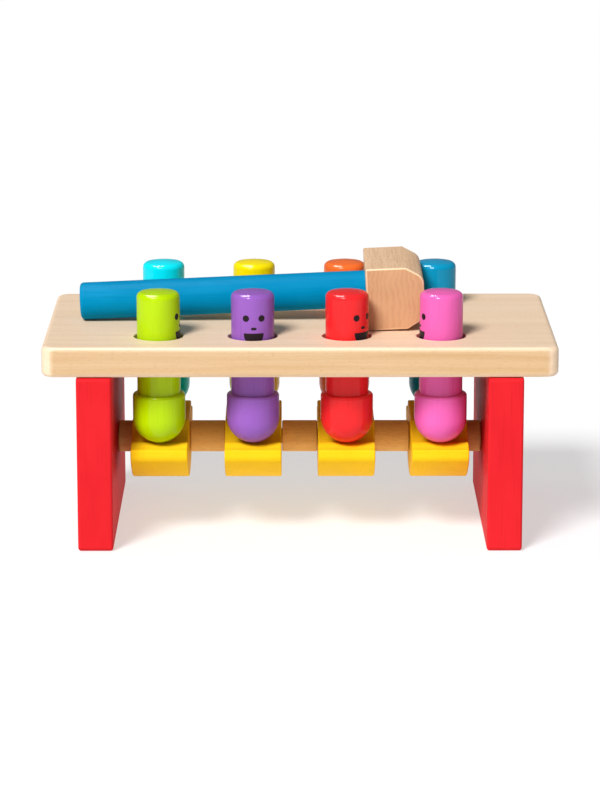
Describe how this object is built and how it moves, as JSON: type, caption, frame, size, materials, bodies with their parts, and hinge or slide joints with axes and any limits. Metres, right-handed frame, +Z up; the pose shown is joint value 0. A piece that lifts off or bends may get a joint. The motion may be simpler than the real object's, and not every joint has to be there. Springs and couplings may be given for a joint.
{
  "type": "pounding bench",
  "caption": "Toy pounding bench: a wooden board on two legs with painted pegs that seesaw in pairs on rockers below, and a wooden mallet lying on top.",
  "frame": {"origin": "on the floor under the middle of the board, at the bottom centre of the whole object's box", "axes": "+X along the board towards the mallet's head, -Y towards the front row of pegs, +Z up"},
  "size_m": [0.262, 0.14, 0.1401],
  "materials": {
    "board_wood": "clear satin lacquer on pale wood",
    "bare_wood": "bare sanded wood",
    "head_wood": "clear satin lacquer on beech",
    "red_leg_paint": "satin red paint on wood",
    "rocker_paint": "satin yellow paint on wood",
    "handle_paint": "glossy blue paint on wood",
    "lime_paint": "glossy lime paint on wood",
    "purple_paint": "glossy purple paint on wood",
    "red_paint": "glossy red paint on wood",
    "pink_paint": "glossy pink paint on wood",
    "cyan_paint": "glossy cyan paint on wood",
    "yellow_paint": "glossy yellow paint on wood",
    "orange_paint": "glossy orange paint on wood",
    "teal_paint": "glossy teal paint on wood"
  },
  "bodies": {
    "bench": {"bench_top": "board_wood", "left_leg": "red_leg_paint", "right_leg": "red_leg_paint", "left_front_dowel": "bare_wood", "left_back_dowel": "bare_wood", "right_front_dowel": "bare_wood", "right_back_dowel": "bare_wood", "axle_rod": "bare_wood", "spacer_1": "bare_wood", "spacer_2": "bare_wood", "spacer_3": "bare_wood", "spacer_4": "bare_wood", "spacer_5": "bare_wood"},
    "seesaw_1": {"rocker_1": "rocker_paint"},
    "seesaw_2": {"rocker_2": "rocker_paint"},
    "seesaw_3": {"rocker_3": "rocker_paint"},
    "seesaw_4": {"rocker_4": "rocker_paint"},
    "lime": {"lime_peg": "lime_paint"},
    "purple": {"purple_peg": "purple_paint"},
    "red": {"red_peg": "red_paint"},
    "pink": {"pink_peg": "pink_paint"},
    "cyan": {"cyan_peg": "cyan_paint"},
    "yellow": {"yellow_peg": "yellow_paint"},
    "orange": {"orange_peg": "orange_paint"},
    "teal": {"teal_peg": "teal_paint"},
    "mallet": {"mallet_head": "head_wood", "mallet_handle": "handle_paint"}
  },
  "joints": [
    {"name": "rocker_1_tilt", "type": "hinge", "parent": "bench", "child": "seesaw_1", "pos_m": [-0.07245, 0, 0.044], "axis": [1, 0, 0], "range_deg": [-20, 20]},
    {"name": "rocker_2_tilt", "type": "hinge", "parent": "bench", "child": "seesaw_2", "pos_m": [-0.02415, 0, 0.044], "axis": [1, 0, 0], "range_deg": [-20, 20]},
    {"name": "rocker_3_tilt", "type": "hinge", "parent": "bench", "child": "seesaw_3", "pos_m": [0.02415, 0, 0.044], "axis": [1, 0, 0], "range_deg": [-20, 20]},
    {"name": "rocker_4_tilt", "type": "hinge", "parent": "bench", "child": "seesaw_4", "pos_m": [0.07245, 0, 0.044], "axis": [1, 0, 0], "range_deg": [-20, 20]},
    {"name": "lime_peg_slide", "type": "slide", "parent": "bench", "child": "lime", "axis": [0, 0, 1], "range_m": [-0.014, 0.014]},
    {"name": "cyan_peg_slide", "type": "slide", "parent": "bench", "child": "cyan", "axis": [0, 0, 1], "range_m": [-0.014, 0.014]},
    {"name": "purple_peg_slide", "type": "slide", "parent": "bench", "child": "purple", "axis": [0, 0, 1], "range_m": [-0.014, 0.014]},
    {"name": "yellow_peg_slide", "type": "slide", "parent": "bench", "child": "yellow", "axis": [0, 0, 1], "range_m": [-0.014, 0.014]},
    {"name": "red_peg_slide", "type": "slide", "parent": "bench", "child": "red", "axis": [0, 0, 1], "range_m": [-0.014, 0.014]},
    {"name": "orange_peg_slide", "type": "slide", "parent": "bench", "child": "orange", "axis": [0, 0, 1], "range_m": [-0.014, 0.014]},
    {"name": "pink_peg_slide", "type": "slide", "parent": "bench", "child": "pink", "axis": [0, 0, 1], "range_m": [-0.014, 0.014]},
    {"name": "teal_peg_slide", "type": "slide", "parent": "bench", "child": "teal", "axis": [0, 0, 1], "range_m": [-0.014, 0.014]},
    {"name": "mallet_lift", "type": "slide", "parent": "bench", "child": "mallet", "axis": [0, 0, 1], "range_m": [0, 0.12]}
  ],
  "couplings": [
    {"joint": "lime_peg_slide", "follows": "rocker_1_tilt", "m_per_rad": -0.04},
    {"joint": "cyan_peg_slide", "follows": "rocker_1_tilt", "m_per_rad": 0.04},
    {"joint": "purple_peg_slide", "follows": "rocker_2_tilt", "m_per_rad": -0.04},
    {"joint": "yellow_peg_slide", "follows": "rocker_2_tilt", "m_per_rad": 0.04},
    {"joint": "red_peg_slide", "follows": "rocker_3_tilt", "m_per_rad": -0.04},
    {"joint": "orange_peg_slide", "follows": "rocker_3_tilt", "m_per_rad": 0.04},
    {"joint": "pink_peg_slide", "follows": "rocker_4_tilt", "m_per_rad": -0.04},
    {"joint": "teal_peg_slide", "follows": "rocker_4_tilt", "m_per_rad": 0.04}
  ]
}
